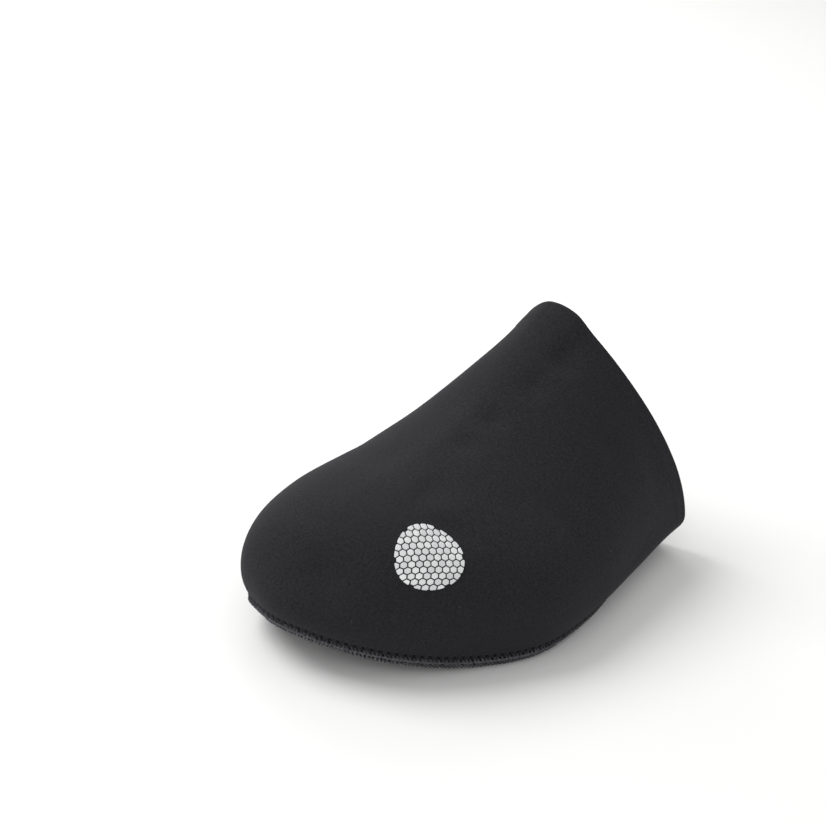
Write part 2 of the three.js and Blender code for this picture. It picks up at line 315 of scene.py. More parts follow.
def addNode(tree, kind, inputs=None, out=0, **settings):
    # adds a node with its settings and gives back one output; an input is a value, a hex colour or
    # another node's output
    node = tree.nodes.new("ShaderNode" + kind)
    for key, value in settings.items():
        setattr(node, key, value)
    for key, value in (inputs or {}).items():
        if isinstance(value, bpy.types.NodeSocket):
            tree.links.new(value, node.inputs[key])
        else:
            node.inputs[key].default_value = linearColour(value) if isinstance(value, str) else value
    return node.outputs[out]


colourMix = {"out": 2, "data_type": "RGBA"}
smooth = {"interpolation_type": "SMOOTHSTEP"}

# the needle holes' colour is painted shade: near black, for the pits that the mesh lacks
clothLook = {
    "dark": "#18181a", "light": "#2a2a2d", "patchLight": "#232325", "lint": "#5a5a60", "holeShade": "#030304",
    "sheenTint": "#c4c4cc", "roughness": 0.9, "sheen": 0.05,
    "grain": 0.66, "fineGrain": 0.3, "patch": 34.0, "lintSize": 1.4,
    "holeWidth": 1.1, "holeHeight": 1.2, "holeBelow": 0.45,
}


def softshellCloth(look):
    # Brushed polyester softshell, warp knitted and heat set: matte, a fine even dull grain, a faint sheen
    # where it turns away.
    material, tree = newMaterial(
        "softshellCloth", Roughness=look["roughness"], Specular_IOR_Level=0.14,
        Sheen_Weight=look["sheen"], Sheen_Roughness=0.5, Sheen_Tint=linearColour(look["sheenTint"]))
    place = addNode(tree, "TexCoord", out="Object")
    grain = addNode(tree, "TexNoise", {
        "Vector": place, "Scale": 1000 / look["grain"], "Detail": 1.5, "Roughness": 0.6})
    fine = addNode(tree, "TexNoise", {"Vector": place, "Scale": 1000 / look["fineGrain"], "Detail": 1.0})
    patch = addNode(tree, "TexNoise", {"Vector": place, "Scale": 1000 / look["patch"], "Detail": 3.0})
    grainShare = addNode(tree, "MapRange", {0: grain, 1: 0.28, 2: 0.72})
    colour = addNode(tree, "Mix", {0: grainShare, 6: look["dark"], 7: look["light"]}, **colourMix)
    patchShare = addNode(tree, "MapRange", {0: patch, 1: 0.35, 2: 0.7, 4: 0.35}, **smooth)
    colour = addNode(tree, "Mix", {0: patchShare, 6: colour, 7: look["patchLight"]}, **colourMix)
    # short lint caught in the nap
    lint = addNode(tree, "TexNoise", {"Vector": place, "Scale": 1000 / look["lintSize"], "Detail": 1.0})
    lintShare = addNode(tree, "MapRange", {0: lint, 1: 0.77, 2: 0.84, 4: 0.3}, **smooth)
    colour = addNode(tree, "Mix", {0: lintShare, 6: colour, 7: look["lint"]}, **colourMix)
    # needle holes: ovals at the stitch pitch along the seam line, painted near black as shade in the pits,
    # which the mesh does not model
    seamAt = addNode(tree, "Attribute", out="Fac", attribute_name="seamAlong")
    above = addNode(tree, "Attribute", out="Fac", attribute_name="seamAbove")
    phase = addNode(tree, "Math", {0: seamAt, 1: seam["stitch"] / 2}, operation="PINGPONG")
    sideways = addNode(tree, "Math", {0: phase, 1: seam["stitch"] / 2}, operation="SUBTRACT")
    sideways = addNode(tree, "Math", {0: sideways, 1: 2 / look["holeWidth"]}, operation="MULTIPLY")
    upwards = addNode(tree, "Math", {0: above, 1: look["holeBelow"]}, operation="ADD")
    upwards = addNode(tree, "Math", {0: upwards, 1: 2 / look["holeHeight"]}, operation="MULTIPLY")
    flat = addNode(tree, "CombineXYZ", {0: sideways, 1: upwards})
    distance = addNode(tree, "VectorMath", {0: flat}, out="Value", operation="LENGTH")
    holeShade = addNode(tree, "MapRange", {0: distance, 1: 1.15, 2: 0.8}, **smooth)
    colour = addNode(tree, "Mix", {0: holeShade, 6: colour, 7: look["holeShade"]}, **colourMix)
    pull = addNode(tree, "MapRange", {0: distance, 1: 0.4, 2: 2.4}, **smooth)
    normal = addNode(tree, "Bump", {"Height": pull, "Strength": 0.7, "Distance": 0.0005})
    normal = addNode(tree, "Bump", {"Height": grain, "Strength": 0.4, "Distance": 0.0002, "Normal": normal})
    normal = addNode(tree, "Bump", {"Height": fine, "Strength": 0.4, "Distance": 0.00012, "Normal": normal})
    linkSurface(tree, colour, normal)
    return material


liningLook = {"dark": "#161618", "light": "#303034", "pile": 1.3}


def fleeceLining(look):
    # Short-pile fleece backing, knitted and brushed: darker, soft, with a loose fuzzy surface.
    material, tree = newMaterial(
        "fleeceLining", Roughness=0.95, Specular_IOR_Level=0.1, Sheen_Weight=0.08, Sheen_Roughness=0.6)
    place = addNode(tree, "TexCoord", out="Object")
    pile = addNode(tree, "TexNoise", {
        "Vector": place, "Scale": 1000 / look["pile"], "Detail": 4.0, "Roughness": 0.7})
    share = addNode(tree, "MapRange", {0: pile, 1: 0.3, 2: 0.7}, **smooth)
    colour = addNode(tree, "Mix", {0: share, 6: look["dark"], 7: look["light"]}, **colourMix)
    normal = addNode(tree, "Bump", {"Height": pile, "Strength": 0.7, "Distance": 0.0006})
    linkSurface(tree, colour, normal)
    return material


threadLook = {
    "dark": "#18181a", "light": "#4b4b50", "pale": "#7e7e86", "filaments": 5, "twist": 0.9, "uneven": 1.8,
}


def texturedThread(look):
    # Textured (woolly) polyester overlock thread, loosely twisted: it spreads flat, and its filaments show
    # as slanted stripes; their soft highlights and the shade between them are painted into its colour.
    material, tree = newMaterial(
        "texturedThread", Roughness=0.7, Specular_IOR_Level=0.3, Sheen_Weight=0.15, Sheen_Roughness=0.4)
    # the chart holds millimetres along the thread and the share of a turn round it
    along = addNode(tree, "SeparateXYZ", {0: addNode(tree, "UVMap")}, out=0)
    around = addNode(tree, "SeparateXYZ", {0: addNode(tree, "UVMap")}, out=1)
    twisted = addNode(tree, "Math", {0: along, 1: look["twist"], 2: around}, operation="MULTIPLY_ADD")
    stripes = addNode(tree, "Math", {0: twisted, 1: look["filaments"] * 2 * pi}, operation="MULTIPLY")
    filament = addNode(tree, "Math", {0: stripes}, operation="SINE")
    tone = addNode(tree, "Attribute", out="Fac", attribute_name="tone")
    place = addNode(tree, "TexCoord", out="Object")
    uneven = addNode(tree, "TexNoise", {"Vector": place, "Scale": 1000 / look["uneven"], "Detail": 2.0})
    light = addNode(tree, "Mix", {0: tone, 6: look["light"], 7: look["pale"]}, **colourMix)
    # painted highlight along each filament and painted shade between filaments, mixed into the colour
    share = addNode(tree, "Math", {0: filament, 1: 0.25, 2: uneven}, operation="MULTIPLY_ADD")
    colour = addNode(tree, "Mix", {0: share, 6: look["dark"], 7: light}, **colourMix)
    normal = addNode(tree, "Bump", {"Height": filament, "Strength": 0.5, "Distance": 0.0001})
    linkSurface(tree, colour, normal)
    return material


cutEdgeLook = {"dark": "#060607", "light": "#171719", "fibre": 0.6}


def cutEdgeCloth(look):
    # The raw plies under the overlock thread, sheared: flat black, fibrous.
    material, tree = newMaterial("cutEdgeCloth", Roughness=0.95, Specular_IOR_Level=0.08)
    place = addNode(tree, "TexCoord", out="Object")
    fibre = addNode(tree, "TexNoise", {
        "Vector": place, "Scale": 1000 / look["fibre"], "Detail": 3.0, "Roughness": 0.7})
    colour = addNode(tree, "Mix", {0: fibre, 6: look["dark"], 7: look["light"]}, **colourMix)
    normal = addNode(tree, "Bump", {"Height": fibre, "Strength": 0.6, "Distance": 0.0003})
    linkSurface(tree, colour, normal)
    return material


soleLook = {
    "dark": "#111112", "light": "#27272a", "dust": "#3a3936", "yarn": 0.9, "grain": 0.4, "dustSize": 24,
}


def wovenSole(look):
    # Abrasion-resistant nylon canvas, plain woven from 0.9 mm yarns: a painted highlight where they cross and
    # painted shade between them, in its colour, and a little pale dust in the low places.
    material, tree = newMaterial(
        "wovenSole", Roughness=0.72, Specular_IOR_Level=0.25, Sheen_Weight=0.08)
    place = addNode(tree, "TexCoord", out="Object")
    scaled = addNode(tree, "VectorMath", {0: place, "Scale": 1000 * pi / look["yarn"]}, operation="SCALE")
    waves = addNode(tree, "VectorMath", {0: scaled}, operation="SINE")
    acrossYarn = addNode(tree, "SeparateXYZ", {0: waves}, out=0)
    alongYarn = addNode(tree, "SeparateXYZ", {0: waves}, out=1)
    weave = addNode(tree, "Math", {0: acrossYarn, 1: alongYarn}, operation="MULTIPLY")
    grain = addNode(tree, "TexNoise", {"Vector": place, "Scale": 1000 / look["grain"], "Detail": 2.0})
    # the weave's light and dark are painted: a highlight on the yarns' crests, shade between them
    share = addNode(tree, "MapRange", {0: weave, 1: -0.8, 2: 0.8}, **smooth)
    colour = addNode(tree, "Mix", {0: share, 6: look["dark"], 7: look["light"]}, **colourMix)
    dust = addNode(tree, "TexNoise", {
        "Vector": place, "Scale": 1000 / look["dustSize"], "Detail": 5.0, "Roughness": 0.65})
    dustShare = addNode(tree, "MapRange", {0: dust, 1: 0.5, 2: 0.8, 4: 0.35}, **smooth)
    colour = addNode(tree, "Mix", {0: dustShare, 6: colour, 7: look["dust"]}, **colourMix)
    normal = addNode(tree, "Bump", {"Height": weave, "Strength": 0.7, "Distance": 0.0003})
    normal = addNode(tree, "Bump", {"Height": grain, "Strength": 0.3, "Distance": 0.0001, "Normal": normal})
    linkSurface(tree, colour, normal)
    return material


filmLook = {"dark": "#c3c5c7", "light": "#eceded", "bead": 0.25}


def reflectiveFilm(look):
    # Silver retroreflective transfer film, glass beads in resin, heat pressed: satin, evenly pale grey,
    # each cell a trace lighter or darker than the next.
    material, tree = newMaterial(
        "reflectiveFilm", Roughness=0.42, Metallic=0.25, Coat_Weight=0.15, Coat_Roughness=0.3)
    place = addNode(tree, "TexCoord", out="Object")
    bead = addNode(tree, "TexNoise", {"Vector": place, "Scale": 1000 / look["bead"], "Detail": 1.0})
    tone = addNode(tree, "Attribute", out="Fac", attribute_name="tone")
    share = addNode(tree, "Math", {0: bead, 1: 0.5, 2: tone}, operation="MULTIPLY_ADD")
    colour = addNode(tree, "Mix", {0: share, 6: look["dark"], 7: look["light"]}, **colourMix)
    normal = addNode(tree, "Bump", {"Height": bead, "Strength": 0.25, "Distance": 0.00008})
    linkSurface(tree, colour, normal)
    return material


cloth = softshellCloth(clothLook)
lining = fleeceLining(liningLook)
thread = texturedThread(threadLook)
cutEdge = cutEdgeCloth(cutEdgeLook)
canvas = wovenSole(soleLook)
film = reflectiveFilm(filmLook)
print("materials made")

# The upper
upperSettings = {
    "wall": 2.0, "hemFold": 9.0, "edgeRadius": 1.35,
    "bodyRows": 128, "foldRows": 10, "edgeRows": 6, "arcColumns": 145, "wallRows": 12, "wallPower": 1.5,
    # places in the seam's section: out of the upper's face, and down from the seam line
    "lip": (0.42, 0.6), "tucked": (0.1, 1.2),
    # the roll and the second ply's step fade out over these distances from the hem, all relief over these
    # above the seam line and above its level; farAbove is out of reach of the needle holes
    "rollBulge": 0.18, "rollFade": (1.44, 3.12), "plyStep": 0.2, "plyFade": (6.4, 8.4),
    "seamFade": 5.0, "levelFade": 14.0, "farAbove": 30.0,
}
# The cloth's slow unevenness: its height, the lengths of its waves, and where it sets in.
unevenness = {
    "height": 0.06, "across": 9.5, "back": 12.0, "slantShare": 0.6, "slantAcross": 5.7, "slantBack": 8.3,
    "setsIn": (6, 30),
}
# Soft troughs (depth above 0) and ridges (below 0), a row each: place over the foot from the ridge outwards
# and from the toe tip back, then half length, half width and depth, all as shares of the cover's length;
# the direction of the length in degrees from straight back; and how many times wider the outer side of
# the bell is.
creases = [
    # the instep's ridge, falling off gently over the outer side, and a row of hollows beside it
    (0.036, 0.50, 0.36, 0.045, -0.0085, 0, 3.6),
    (0.104, 0.745, 0.034, 0.030, 0.0115, 15, 1.3),
    (0.094, 0.655, 0.030, 0.028, 0.0090, 20, 1.4),
    (0.076, 0.545, 0.026, 0.024, 0.0064, 20, 1.5),
    (0.077, 0.462, 0.026, 0.022, 0.0052, 20, 1.5),
    (0.121, 0.292, 0.055, 0.030, 0.0080, -20, 1.4),
    (0.212, 0.262, 0.055, 0.030, 0.0070, 60, 1.4),
    # the outer side's two long hollows, where the cloth spans from the ridge to the seam
    (0.290, 0.390, 0.22, 0.130, 0.0110, 0, 1),
    (0.620, 0.700, 0.18, 0.110, 0.0110, 0, 1),
    # shallow dents in the outer side
    (0.290, 0.700, 0.050, 0.026, 0.0040, 80, 1),
    (0.315, 0.485, 0.060, 0.024, 0.0046, 88, 1),
    (0.240, 0.420, 0.050, 0.030, 0.0016, 70, 1),
    (0.420, 0.820, 0.060, 0.026, 0.0024, 80, 1),
    # the rim of the toe's top, and a dent in the toe's front
    (0.010, 0.066, 0.105, 0.027, -0.0085, 97, 1),
    (0.084, 0.038, 0.068, 0.026, 0.0165, 85, 1),
    # the hem stands off over the instep
    (-0.058, 0.83, 0.045, 0.05, -0.0046, 10, 2),
    (0.062, 0.840, 0.080, 0.075, -0.0140, 0, 0.5),
    # dents in the inner side
    (-0.22, 0.42, 0.09, 0.05, 0.0034, 95, 1),
    (-0.30, 0.62, 0.08, 0.045, 0.0030, 110, 1),
    (-0.24, 0.78, 0.07, 0.035, 0.0022, 75, 1),
]


def creaseHeight(across, back):
    # the sum of the creases, each a bell along its length and across its width, and a slow unevenness
    total = np.zeros_like(across)
    size = last["length"]
    for placeAcross, placeBack, length, width, depth, turn, spread in creases:
        dx, dy, turn = across - placeAcross * size, back - placeBack * size, radians(turn)
        far = (dy * np.cos(turn) + dx * np.sin(turn)) / (length * size)
        off = (dx * np.cos(turn) - dy * np.sin(turn)) / (width * size)
        off = np.where(off > 0, off / spread, off)
        total -= depth * size * np.exp(-far**2 - off**2)
    u = unevenness
    slow = np.sin(across / u["across"] + 1.3) * np.sin(back / u["back"] + 0.4)
    slow += u["slantShare"] * np.sin(across / u["slantAcross"] + back / u["slantBack"])
    return total + u["height"] * slow * smoothstep(*u["setsIn"], back)


def makeUpper():
    # rows run from the toe tip to the hem and columns over the foot; the hem's edge is half a round
    s = upperSettings
    body = np.linspace(0, 1, s["bodyRows"] + 1) ** last["rowPower"]
    fold = np.linspace(0, s["hemFold"] - s["edgeRadius"], s["foldRows"] + 1)[1:]
    theta = np.linspace(0, pi / 2, s["edgeRows"] + 1)[1:]
    share = np.concatenate([body, np.ones(len(fold) + len(theta))])
    extra = np.concatenate([0 * body, fold, s["hemFold"] - s["edgeRadius"] * (1 - np.sin(theta))])
    depthOut = np.concatenate([0 * body, 0 * fold, s["edgeRadius"] * (1 - np.cos(theta))])
    foldedWall = np.where(share < 1, s["wall"], 2 * s["edgeRadius"])
    depthIn = np.concatenate([foldedWall[:len(body) + len(fold)], s["edgeRadius"] * (1 + np.cos(theta))])
    rowCount, columnCount = len(share), s["arcColumns"]
    turn = np.linspace(0, pi, columnCount)
    back = share[:, None] * (hemReach(turn)[None] - s["hemFold"]) + extra[:, None]
    dome = domePoint(np.broadcast_to(turn, back.shape), back)
    middle = (columnCount - 1) // 2
    arc = pathLength(dome)
    across = arc[:, middle:middle + 1] - arc

    # the side wall: stations from the inner hem round the toe to the outer hem
    rowOf = np.concatenate([np.arange(rowCount)[::-1], np.arange(1, rowCount)])
    side = np.concatenate([-np.ones(rowCount), np.ones(rowCount - 1)])
    stationBack = np.where(side < 0, back[rowOf, -1], back[rowOf, 0])
    reach = np.where(side < 0, last["length"], last["outerHem"])
    stationAlong = side * (stationBack / reach) ** (1 / last["rowPower"])
    place = wallPlace(stationAlong)
    wallShares = 1 - (1 - np.linspace(0, 1, s["wallRows"] + 1)[1:]) ** s["wallPower"]
    wall = [wallPoint(place, v) for v in wallShares]
    # under the seam line the cloth turns out over the seam, then in behind it
    wall = np.stack(wall + [seamPoint(place, *s["lip"]), seamPoint(place, *s["tucked"])], 1)
    wallCount = wall.shape[1]
    first = np.where((side < 0)[:, None], dome[rowOf, -1], dome[rowOf, 0])
    down = pathLength(np.concatenate([first[:, None], wall], 1))[:, 1:]

    def everyPoint(atTip, onDome, onWall):
        onDome = np.broadcast_to(onDome, back.shape)[1:].ravel()
        return np.concatenate([[atTip], onDome, np.repeat(onWall, wallCount)])

    points = np.concatenate([dome[0, :1], dome[1:].reshape(-1, 3), wall.reshape(-1, 3)])
    # under the widest line the chart keeps the line's own value, so that it joins up round the toe tip
    chartAcross = everyPoint(0, across, np.where(side < 0, across[rowOf, -1], across[rowOf, 0]))
    chartBack = everyPoint(0, back, stationBack)
    row = everyPoint(0, np.arange(rowCount)[:, None], rowOf)
    wallStart = 1 + (rowCount - 1) * columnCount
    # distances above the seam line, which is the wall's last row before the lip
    edgeAbove = down[:, len(wallShares) - 1]
    seamAbove = np.concatenate([np.full(wallStart, s["farAbove"]), (edgeAbove[:, None] - down).ravel()])
    domeAlong = np.where(turn < pi / 2, 1, -1) * (back / hemReach(turn)) ** (1 / last["rowPower"])
    seamAlongValue = np.interp(everyPoint(0, domeAlong, stationAlong), seamAlong, seamLength)
    # the dome's lowest row is close to the seam round the toe tip
    outerEdge = 1 + np.arange(rowCount - 1) * columnCount
    innerEdge = outerEdge + columnCount - 1
    seamAbove[outerEdge] = edgeAbove[rowCount:]
    seamAbove[innerEdge] = edgeAbove[:rowCount - 1][::-1]
    seamAbove[0] = edgeAbove[rowCount - 1]

    # faces: a fan at the toe tip, the dome's grid, and the wall's strip that starts at the dome's edge
    domeQuads = gridQuads(rowCount - 1, columnCount, 1)
    column = np.arange(1, columnCount)
    pole = np.stack([0 * column, column, column + 1], -1)
    wallNumber = wallStart + np.arange(len(side))[:, None] * wallCount + np.arange(wallCount)[None]
    topNumber = 1 + (rowOf - 1) * columnCount + np.where(side < 0, columnCount - 1, 0)
    topNumber = np.where(rowOf == 0, 0, topNumber)
    strip = np.concatenate([topNumber[:, None], wallNumber], 1)
    wallQuads = np.stack([strip[:-1, :-1], strip[:-1, 1:], strip[1:, 1:], strip[1:, :-1]], -1).reshape(-1, 4)
    quads = np.concatenate([domeQuads[:, ::-1], wallQuads])
    normal = vertexNormals(points, quads, pole)

    # creases, the thicker rolled edge and the second ply's edge showing through
    fromHem = everyPoint(last["topHem"], hemReach(turn), reach) - chartBack
    relief = creaseHeight(chartAcross, chartBack)
    relief += s["rollBulge"] * (1 - smoothstep(*s["rollFade"], fromHem))
    relief += s["plyStep"] * (1 - smoothstep(*s["plyFade"], fromHem))
    relief *= smoothstep(0, s["seamFade"], seamAbove)
    seamLevel = soleHeight(points[:, 1]) + seam["gap"] + seam["width"]
    relief *= smoothstep(0, s["levelFade"], points[:, 2] - seamLevel)
    points = points + normal * relief[:, None]
    normal = vertexNormals(points, quads, pole)

    # the inside is the outside moved in by the wall; both share the last row, on the hem's edge
    outside = points - normal * depthOut[row][:, None]
    inside = points - normal * depthIn[row][:, None]
    count = len(points)
    twin = np.arange(count) + count
    twin[row == rowCount - 1] = np.flatnonzero(row == rowCount - 1)
    allPoints = np.concatenate([outside, inside])
    lowEdge = wallNumber[:, -1]
    rim = np.stack([lowEdge[:-1], twin[lowEdge[:-1]], twin[lowEdge[1:]], lowEdge[1:]], -1)[1:-1]
    rimEnds = np.array([[lowEdge[0], twin[lowEdge[1]], lowEdge[1]],
                        [lowEdge[-2], twin[lowEdge[-2]], lowEdge[-1]]])
    innerQuads = twin[quads][:, ::-1]
    innerPole = twin[pole][:, ::-1]
    foldStart = len(body) - 1
    innerSlots = np.where(row[quads].min(axis=1) >= foldStart, 0, 1)
    allQuads = np.concatenate([quads, innerQuads, rim])
    slots = np.concatenate([np.zeros(len(quads), int), innerSlots, np.zeros(len(rim), int),
                            np.zeros(len(pole), int), np.ones(len(pole), int), np.zeros(len(rimEnds), int)])
    values = {
        "seamAlong": np.concatenate([seamAlongValue, seamAlongValue]),
        "seamAbove": np.concatenate([seamAbove, np.full(count, s["farAbove"])]),
    }
    piece = makePiece("upperShell", allPoints, allQuads, np.concatenate([pole, innerPole, rimEnds]),
                      [cloth, lining], slots, values)
    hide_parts("upper")


makeUpper()
print("upper made")

# The overlocked seam
threadSettings = {
    # the core: it shrinks below the thread's top, and shows cut plies from a little lower on
    "top": 1.3, "coreRows": 720, "coreSides": 36, "coreInset": 0.04, "coreShrink": 0.55,
    "shrinkFrom": 0.2, "shrinkTo": 0.6, "cutEdgeFrom": 0.35, "roundBeyond": 1.6,
    # the ribs; a wander is how far, or by what share, the thread strays from its even course
    "ribsPerStitch": 2, "pointsPerRib": 20, "ribSides": 6, "ribRadius": 0.3, "ribRadiusWander": 0.25,
    "ribSlant": 1.5, "ribPoint": 0.03, "ribPitchWander": 0.22, "ribSink": 0.06, "ribHeightWander": 0.07,
    "ribTone": 0.4, "ribToneWander": 0.45,
    # the two knotting strands
    "pointsPerLink": 12, "chainSides": 5, "chainRadius": 0.24, "chainFlatness": 0.8, "chainSwell": 0.5,
    "chainOut": 0.28, "chainCross": 0.14, "chainDown": 2.4, "chainSwing": 0.3, "chainWander": 0.2,
    "chainTone": 0.75, "chainToneWander": 0.4,
}


def makeSeamCore():
    # the plies inside the thread: the seam's section carried along the seam, full size at the top, where
    # the upper's cloth laps over it, and smaller under the thread
    s = threadSettings
    count, sides, top = s["coreRows"], s["coreSides"], s["top"]
    lengths = np.linspace(0, seamLength[-1], count)
    place = placeAtLength(lengths)
    angle = np.arange(sides) * 2 * pi / sides
    plainDown = seamRing(angle, 0.0)[1]
    shrunk = smoothstep(top - s["shrinkFrom"], top + s["shrinkTo"], plainDown)
    out, down = seamRing(angle, -s["coreInset"] - s["coreShrink"] * shrunk)
    points = np.stack([seamPoint(place, a, b) for a, b in zip(out, down)], 1)
    quads = gridQuads(count, sides, closed=True)
    ends = endCaps(count, sides)
    slots = np.where(plainDown[quads % sides].max(axis=1) < top + s["cutEdgeFrom"], 0, 1)
    slots = np.concatenate([slots, np.ones(len(ends), int)])
    values = {"seamAlong": np.repeat(lengths, sides), "seamAbove": np.tile(-down, count)}
    piece = makePiece("seamCore", points.reshape(-1, 3), quads, ends, [cloth, cutEdge], slots, values)
    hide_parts("seam_binding")


def threadOnSeam(length, out, down):
    # points at the given lengths along the seam and places of its section, with the section's own
    # outward direction as their normals
    place = placeAtLength(length)
    path = seamPoint(place, out, down)
    level = threadSettings["roundBeyond"]
    level = np.clip(down, seamMiddleDown - level, seamMiddleDown + level)
    return path, unit(path - seamPoint(place, seamMiddleOut, level))


def wander(t):
    # an irregular wave: three sines, of which no two have a common period
    return 0.5 * np.sin(2.31 * t) + 0.3 * np.sin(5.17 * t + 1) + 0.2 * np.sin(11.3 * t + 2)


def makeSeamThreads():
    # the ribs wind round the seam as one long helix, bent to a chevron on each face; two strands cross
    # along the middle of the outer face, and knot them
    s = threadSettings
    pitch = seam["stitch"]
    stitches = int(seamLength[-1] / pitch) - 1
    parts, tones = [], []

    t = np.linspace(0, stitches * s["ribsPerStitch"], stitches * s["ribsPerStitch"] * s["pointsPerRib"] + 1)
    angle = 2 * pi * t
    out, down = seamRing(angle, s["ribHeightWander"] * wander(t) - s["ribSink"])
    down = s["top"] + (down - seam["gap"]) * (seam["gap"] + seam["width"] - s["top"]) / seam["width"]
    length = pitch * (t / s["ribsPerStitch"] + 0.5)
    length -= s["ribSlant"] * np.sqrt(np.sin(angle) ** 2 + s["ribPoint"])
    length += s["ribPitchWander"] * wander(1.7 * t)
    path, normal = threadOnSeam(length, out, down)
    radius = s["ribRadius"] * (1 + s["ribRadiusWander"] * wander(3.1 * t))
    parts.append(tube(path, normal, radius, s["ribSides"]))
    tones.append(np.repeat(s["ribTone"] + s["ribToneWander"] * wander(2.9 * t), s["ribSides"]))

    t = np.linspace(0, stitches, stitches * s["pointsPerLink"] + 1)
    for phase in (0.0, pi):
        turn = 4 * pi * t
        out = seam["proud"] + s["chainOut"] + s["chainCross"] * np.cos(turn + phase)
        down = s["chainDown"] + s["chainSwing"] * np.sin(turn + phase) + s["chainWander"] * wander(1.9 * t)
        path, normal = threadOnSeam(pitch * (t + 0.5) + s["chainWander"] * wander(1.3 * t), out, down)
        radius = s["chainRadius"] * (1 + s["chainSwell"] * np.sin(turn + 1))
        parts.append(tube(path, normal, radius, s["chainSides"], s["chainFlatness"]))
        tone = s["chainTone"] + s["chainToneWander"] * wander(3.7 * t + phase)
        tones.append(np.repeat(tone, s["chainSides"]))

    points, quads, tris, uv = joinTubes(parts)
    values = {"tone": np.concatenate(tones)}
    piece = makePiece("seamThreads", points, quads, tris, [thread], values=values, uv=uv)


makeSeamCore()
makeSeamThreads()
print("seam made")

# The sole panel
soleSettings = {
    "thickness": 2.0, "archCut": 4.0, "underSeam": 1.2, "turnUpWidth": 9.0,
    # the doubled rim round the window, and how its edge lifts off
    "rimWidth": 4.0, "rimFade": 0.4, "rimHeight": 0.8, "edgeLift": 0.55, "liftWidth": 2.2,
    "windowBack": 94.0, "windowSide": 2.0, "windowLength": 68.0, "windowWidth": 56.0, "windowSquareness": 2.8,
    "outlinePoints": 420, "rearPoints": 60, "sectionPoints": 32, "spans": 30,
}
stitchSettings = {
    "pointsPerStitch": 14, "sides": 6, "radius": 0.24, "tone": 0.2,
    "reach": 3.2, "lap": 0.15, "overRim": 0.12, "underCloth": 0.1,
}


def soleOutline():
    # the panel's outline, which runs on a little under the thread, and its rear edge, bowed towards the
    # toe; with it, how far the edge turns up at each point to reach the seam's lower edge
    s = soleSettings
    lengths = np.linspace(0, seamLength[-1], s["outlinePoints"])
    place = placeAtLength(lengths)
    angle = np.arange(s["sectionPoints"]) * 2 * pi / s["sectionPoints"]
    rings = np.stack([seamPoint(place, out, down) for out, down in zip(*seamRing(angle, 0.0))], 1)
    outward = np.concatenate([place["outward"], np.zeros((len(lengths), 1))], 1)
    level = np.einsum("ijk,ik->ij", rings - wallPoint(place, 0)[:, None], outward)
    low = rings[..., 2] < (soleHeight(place["back"]) + s["thickness"] + seam["thickness"] / 2)[:, None]
    inset = np.where(low, level, 0).min(axis=1) + s["underSeam"]
    edge = place["widest"] + place["outward"] * inset[:, None]
    share = np.linspace(0, 1, s["rearPoints"])[1:-1]
    rear = edge[-1] + (edge[0] - edge[-1]) * share[:, None]
    rear[:, 1] -= s["archCut"] * 4 * share * (1 - share)
    turnUp = np.concatenate([soleHeight(place["back"]) - soleHeight(edge[:, 1]), np.zeros(len(rear))])
    return np.concatenate([edge, rear]), turnUp


def windowEdge(direction):
    # the squarish oval of the window in the given directions from its centre
    s = soleSettings
    power = s["windowSquareness"]
    wide, long = s["windowWidth"] / 2, s["windowLength"] / 2
    reach = np.abs(direction[:, 0] / wide) ** power + np.abs(direction[:, 1] / long) ** power
    return direction * (reach ** (-1 / power))[:, None]


def edgeRounding(share):
    # a quarter circle: 0 at the edge, 1 from one share inwards
    return np.sqrt(np.clip(1 - (1 - np.clip(share, 0, 1)) ** 2, 0, 1))


def windowLift(fromWindow):
    return soleSettings["edgeLift"] * np.exp(-(fromWindow / soleSettings["liftWidth"]) ** 2)


def makeSolePanel():
    # columns run from the window's edge to the outline; the section is closed, with rounded edges
    s = soleSettings
    centre = np.array([s["windowSide"], s["windowBack"]])
    outline, turnUp = soleOutline()
    inner = centre + windowEdge(unit(outline - centre))
    span = np.linalg.norm(outline - inner, axis=1)
    share = np.linspace(0, 1, s["spans"])
    count = len(outline)
    layers = []
    half = s["thickness"] / 2
    for isTop in (False, True):
        for t in share[-2:0:-1] if isTop else share:
            flat = inner + (outline - inner) * t
            fromWindow = span * t
            fromEdge = span * (1 - t)
            rounding = edgeRounding(np.minimum(fromWindow, fromEdge) / half)
            rimEdge = smoothstep(s["rimWidth"] - s["rimFade"], s["rimWidth"] + s["rimFade"], fromWindow)
            lift = windowLift(fromWindow)
            middle = half + lift / 2
            upper = middle + (s["thickness"] + s["rimHeight"] * (1 - rimEdge) - middle) * rounding
            lower = middle - (middle - lift) * rounding
            base = soleHeight(flat[:, 1]) + turnUp * (1 - smoothstep(0, s["turnUpWidth"], fromEdge))
            height = base + (upper if isTop else lower)
            layers.append(np.concatenate([flat, height[:, None]], 1))
    here = np.arange(len(layers) * count).reshape(len(layers), count)
    after = np.roll(here, -1, axis=0)
    quads = np.stack([here, np.roll(here, -1, axis=1), np.roll(after, -1, axis=1), after], -1).reshape(-1, 4)
    piece = makePiece("soleCloth", np.concatenate(layers), quads, None, [canvas])
    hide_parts("sole_panel")


